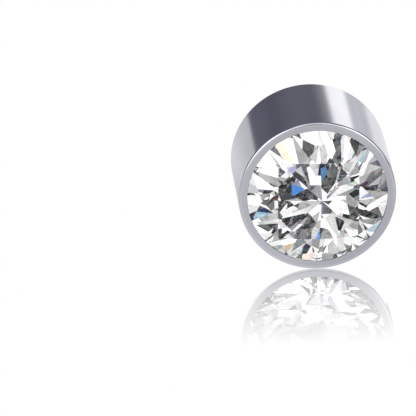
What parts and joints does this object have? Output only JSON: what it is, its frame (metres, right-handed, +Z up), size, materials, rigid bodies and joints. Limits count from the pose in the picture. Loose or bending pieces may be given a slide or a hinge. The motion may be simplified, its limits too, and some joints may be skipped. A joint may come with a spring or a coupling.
{
  "type": "magnetic stud earring",
  "caption": "Stud earring lying on its side: a clear round brilliant-cut stone in a plain steel cup, with the disc magnet that grips the ear lobe from behind snapped on its back.",
  "frame": {"origin": "middle of the cup's back face, where the ear lobe sits when the stud is worn", "axes": "+Y along the stud's axis, out of its back and through the loose magnet, the stone faces -Y, and +Z is up as the stud lies on its side"},
  "size_m": [0.008, 0.0081, 0.008],
  "materials": {
    "polished_steel": "polished, with fine turning marks",
    "clear_stone": "cut and polished, colourless",
    "nickel_plate": "bright nickel plate"
  },
  "bodies": {
    "root": {"cup": "polished_steel", "stone": "clear_stone", "cup_magnet": "nickel_plate", "back_magnet": "nickel_plate"}
  },
  "joints": []
}
